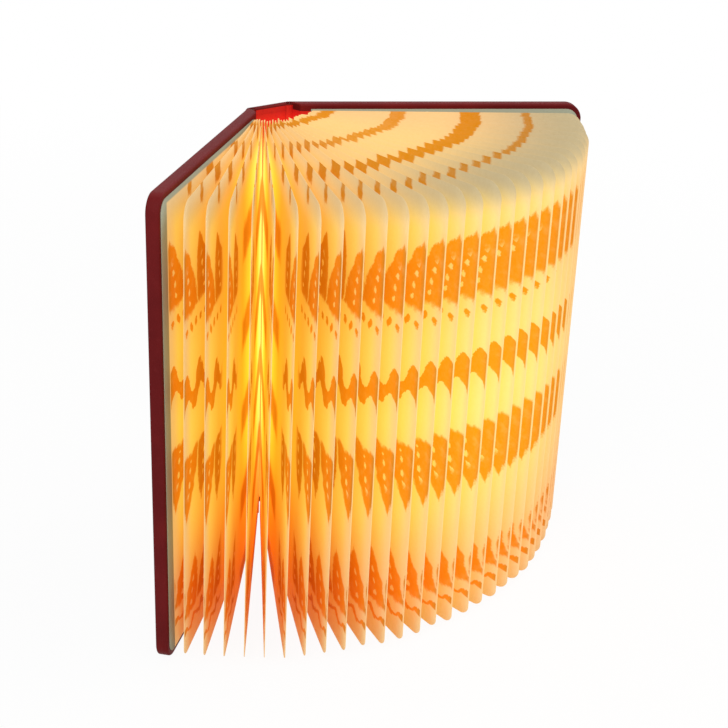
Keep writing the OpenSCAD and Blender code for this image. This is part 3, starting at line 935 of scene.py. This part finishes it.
def leaf_tree():
    tree = bpy.data.node_groups.new("doubled_leaf", "GeometryNodeTree")
    for name, kind in INPUTS:
        tree.interface.new_socket(name, in_out="INPUT", socket_type=kind)
    tree.interface.new_socket("Geometry", in_out="OUTPUT", socket_type="NodeSocketGeometry")
    maker = Maker(tree)
    source = tree.nodes.new("NodeGroupInput")
    given = {name: Value(maker, source.outputs[name]) for name, _ in INPUTS}
    grid_inputs = {"Size X": 1.0, "Size Y": 1.0,
                   "Vertices X": given["Columns"], "Vertices Y": given["Rows"]}
    grid = maker.node("GeometryNodeMeshGrid", None, grid_inputs, "Mesh")
    raise_inputs = {"Mesh": grid, "Offset": maker.join(0.0, 0.0, 1.0),
                    "Offset Scale": 1.0, "Individual": False}
    raised = maker.node("GeometryNodeExtrudeMesh", {"mode": "FACES"}, raise_inputs, "Mesh")
    under = maker.node("GeometryNodeFlipFaces", None, {"Mesh": grid}, "Mesh")
    both = tree.nodes.new("GeometryNodeJoinGeometry")
    tree.links.new(raised.socket, both.inputs[0])
    tree.links.new(under.socket, both.inputs[0])
    slab_inputs = {"Geometry": Value(maker, both.outputs[0]), "Distance": 0.001}
    slab = maker.node("GeometryNodeMergeByDistance", None, slab_inputs)
    x, y, z = maker.split(maker.node("GeometryNodeInputPosition"))
    run = x + 0.5
    rise = y * 2.0
    face = z * 2.0 - 1.0
    on_leaf = (run / (1 - TURN_SHARE)).least(1.0)
    on_turn = (run - (1 - TURN_SHARE)).most(0.0) / TURN_SHARE
    is_turn = on_turn.above(0.001)
    depth = on_leaf * on_leaf * given["Length"]
    fold = 1.0 - (depth / (given["Thickness"] * 1.2)).least(1.0)
    pinch = (1.0 - fold * fold).most(0.0).sqrt()
    half = given["Thickness"] * 0.5 * pinch
    half = half + (given["Sheet"] * 0.5 - half) * is_turn
    lean_x, lean_y = math.sin(TURN_ANGLE), math.cos(TURN_ANGLE)
    top = given["Foot"] + given["Height"] - corner_drop(depth, given["Head corner"])
    low = given["Foot"] + corner_drop(depth, given["Foot corner"])
    height = (top + low) * 0.5 + rise * (top - low) * 0.5
    turn = on_turn * given["Turn"]
    out = given["Start"] + given["Length"] - depth
    bend = given["Lean"] * (height / BOOK_H * 0.85 + 0.15) * (out / (FOLD_START + LEAF_L))
    place_x = out - turn * math.cos(TURN_ANGLE) + face * half * is_turn * lean_x
    place_y = turn * math.sin(TURN_ANGLE) + face * half * (1.0 - is_turn * (1 - lean_y)) + bend
    kept_settings = {"data_type": "FLOAT_VECTOR", "domain": "POINT"}
    kept_inputs = {"Geometry": slab, "Name": "page",
                   "Value": maker.join(depth, given["Place"], height)}
    kept = maker.node("GeometryNodeStoreNamedAttribute", kept_settings, kept_inputs)
    placed_inputs = {"Geometry": kept, "Position": maker.join(place_x, place_y, height)}
    placed = maker.node("GeometryNodeSetPosition", None, placed_inputs)
    closed_inputs = {"Geometry": placed, "Distance": 0.002 * MM}
    closed = maker.node("GeometryNodeMergeByDistance", None, closed_inputs)
    real = maker.node("GeometryNodeRealizeInstances", None, {0: closed})
    made = maker.node("GeometryNodeSetMaterial", None, {"Geometry": real, "Material": given["Paper"]})
    sink = tree.nodes.new("NodeGroupOutput")
    tree.links.new(made.socket, sink.inputs[0])
    return tree


def grow(name, tree, values):
    """A plain mesh from a tree and its inputs, set by their identifiers."""
    piece = bpy.data.objects.new(name, bpy.data.meshes.new(name))
    bpy.context.scene.collection.objects.link(piece)
    modifier = piece.modifiers.new("tree", "NODES")
    modifier.node_group = tree
    for item in tree.interface.items_tree:
        if item.name in values:
            modifier[item.identifier] = values[item.name]
    piece.update_tag()
    keep_result(piece)
    return piece


# %% [markdown]
# One leaf for each body. The length of the inner turn follows the gap to the next leaf, less a small
# clearance, and never crosses the middle when the book is closed. Real leaves don't line up exactly,
# so each is a few tenths of a millimetre longer and higher or lower than the next, from a fixed seed.
# The leaves lean towards the back cover, most of all those beside the front cover, and are a little
# thinner than the solids, which lets them lie side by side in the closed book.

# %% The thirty leaves


def inner_end(share):
    return FOLD_START - FOLD_RISE * share * share


def leaf_offset(share):
    return (COVER_T - AXIS_DEPTH) * share


def turn_room(side, share, step):
    """How far the inner turn may reach towards the neighbour nearer the middle."""
    fold = turned(side, share, inner_end(share), leaf_offset(share), 0.0)
    next_side, next_share = (side, share - step) if share > step else (-side, step - share)
    other = turned(next_side, next_share, 0.0, leaf_offset(next_share), 0.0)
    inward = turned(next_side, next_share, 0.0, leaf_offset(next_share) + 1.0, 0.0) - other
    gap = abs((fold - other).dot(inward)) - LEAF_T - TURN_GAP
    closed = (AXIS_X + AXIS_DEPTH - COVER_T) * share - LEAF_T / 2
    return max(0.0, min(gap, closed))


def set_leaf(leaf, side, share, offset):
    """Turns a leaf from its own length, height and thickness to its place in the fan."""
    origin = turned(side, share, 0.0, offset, 0.0)
    ahead = turned(side, share, 1.0, offset, 0.0) - origin
    inward = turned(side, share, 0.0, offset + 1.0, 0.0) - origin
    turn = Matrix((ahead, inward, Vector((0, 0, 1)))).transposed().to_4x4()
    leaf.data.transform(Matrix.Translation(origin) @ turn)
    if side > 0:
        leaf.data.flip_normals()
    leaf.data.shade_smooth()


def make_leaves(tree):
    draw = random.Random(5)
    names = sorted(name for name in frame["bodies"] if name.startswith("pleat_"))
    ordered = [shares[name + "_fold"] for name in names]
    step = ordered[0] - ordered[1]
    leaves = []
    for name, share in zip(names, ordered):
        side = 1 if joints[name + "_fold"]["pos_m"][0] > 0 else -1
        longer, higher = draw.uniform(-0.5, 0.5) * MM, draw.uniform(-0.6, 0.6) * MM
        values = {
            "Start": inner_end(share), "Length": LEAF_L + longer, "Foot": PAGE_SQUARE + higher,
            "Height": PAGE_H, "Thickness": PRESSED_T, "Sheet": SHEET_T,
            "Head corner": HEAD_CORNER, "Foot corner": FOOT_CORNER,
            "Turn": max(turn_room(side, share, step), 0.02 * MM) / math.sin(TURN_ANGLE),
            "Lean": -side * LEAN * (1 - side * share) / 2,
            "Place": side * share, "Columns": 46, "Rows": 15, "Paper": paper,
        }
        leaf = grow(name.replace("pleat", "leaf"), tree, values)
        set_leaf(leaf, side, share, leaf_offset(share))
        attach(leaf, name)
        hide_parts(name)
        leaves.append(leaf)
    return leaves


tree = leaf_tree()
leaves = make_leaves(tree)
print("leaves:", len(leaves), "of", len(leaves[0].data.polygons), "faces")

# %% [markdown]
# The pasted leaves. The first and the last leaf of the accordion are glued to the insides of the
# covers. They come from the same tree, without an inner turn, and their finish leaves a dull rim
# outside the fold, where only the cover's own pasted paper shows.

# %% Pasted leaves
ENDPAPER_START = 11 * MM
ENDPAPER_SQUARE = 2 * MM
ENDPAPER_T = LINING_T


def pasted_leaf(side, name, body, node):
    values = {
        "Start": ENDPAPER_START, "Length": COVER_W - ENDPAPER_SQUARE - ENDPAPER_START,
        "Foot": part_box(node)[0].z, "Height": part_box(node)[1].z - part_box(node)[0].z,
        "Thickness": ENDPAPER_T, "Sheet": ENDPAPER_T, "Head corner": 6 * MM, "Foot corner": 6 * MM,
        "Turn": 0.02 * MM, "Lean": 0.0, "Place": float(side), "Columns": 46, "Rows": 15,
        "Paper": pasted_paper,
    }
    leaf = grow(name, tree, values)
    set_leaf(leaf, side, 1.0, COVER_CORE + ENDPAPER_T / 2 - AXIS_DEPTH)
    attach(leaf, body)
    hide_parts(node)
    return leaf


first_leaf = pasted_leaf(-1, "front_pasted_leaf", "front_cover", "front_endpaper")
last_leaf = pasted_leaf(1, "back_pasted_leaf", "back_cover", "back_endpaper")
print("pasted leaves:", first_leaf.name, last_leaf.name)

# %% [markdown]
# The stage. The lamp stands on a pale floor in an even white surround. The camera sees the floor and
# the world as white, and everything else sees them at the plain level that lights the lamp, so the
# soft shadow at its foot stays. The floor whitens fully with distance, so that no horizon shows.

# %% Stage and light
WORLD_LEVEL = 0.62
FLOOR_SIZE = 6.0


def seen_directly(maker):
    """1 for rays from the camera, from gloss or through glass."""
    rays = maker.node("ShaderNodeLightPath", None, None, "Is Camera Ray")
    outputs = rays.socket.node.outputs
    gloss = Value(maker, outputs["Is Glossy Ray"])
    through = Value(maker, outputs["Is Transmission Ray"])
    return rays.most(gloss).most(through)


def make_world():
    world = bpy.data.worlds.new("surround")
    world.use_nodes = True
    bpy.context.scene.world = world
    maker = Maker(world.node_tree)
    background = world.node_tree.nodes["Background"]
    seen = seen_directly(maker)
    background.inputs["Color"].default_value = (1.0, 1.0, 1.0, 1.0)
    link(maker, seen * (1.0 - WORLD_LEVEL) + WORLD_LEVEL, background, "Strength")


def make_floor():
    made = bpy.data.materials.new("pale_floor")
    made.use_nodes = True
    tree = made.node_tree
    maker = Maker(tree)
    shader = tree.nodes["Principled BSDF"]
    shader.inputs["Base Color"].default_value = (0.86, 0.86, 0.85, 1.0)
    shader.inputs["Roughness"].default_value = 0.8
    white = maker.node("ShaderNodeEmission", None, {"Color": (1.0, 1.0, 1.0, 1.0), "Strength": 1.0})
    x, y, z = maker.split(maker.place())
    far = (x * x + (y - AXIS_Y) ** 2).sqrt().step(0.3, 0.9)
    share = seen_directly(maker) * (far * 0.07 + 0.93)
    surface_inputs = {0: share, 1: Value(maker, shader.outputs[0]), 2: white}
    surface = maker.node("ShaderNodeMixShader", None, surface_inputs)
    tree.links.new(surface.socket, tree.nodes["Material Output"].inputs["Surface"])
    half = FLOOR_SIZE / 2
    mesh = bpy.data.meshes.new("floor")
    corners = [(-half, -half, 0), (half, -half, 0), (half, half, 0), (-half, half, 0)]
    mesh.from_pydata(corners, [], [(0, 1, 2, 3)])
    mesh.materials.append(made)
    floor = bpy.data.objects.new("floor", mesh)
    bpy.context.scene.collection.objects.link(floor)
    return floor


def make_lamp(name, place, size, watts, colour=(1.0, 1.0, 1.0)):
    data = bpy.data.lights.new(name, "AREA")
    data.size = size
    data.energy = watts
    data.color = colour
    lamp = bpy.data.objects.new(name, data)
    lamp.location = place
    middle = (cad_low + cad_high) / 2
    lamp.rotation_euler = (middle - Vector(place)).to_track_quat("-Z", "Y").to_euler()
    bpy.context.scene.collection.objects.link(lamp)
    return lamp


make_world()
make_floor()
make_lamp("key_light", (-1.3, -1.2, 1.7), 1.4, 26)
make_lamp("fill_light", (1.6, -0.9, 1.3), 1.6, 12)
scene = bpy.context.scene
scene.view_settings.view_transform = "Standard"

# %% Sizes and finish
print("cad box:", [round(v, 4) for v in (*cad_low, *cad_high)])
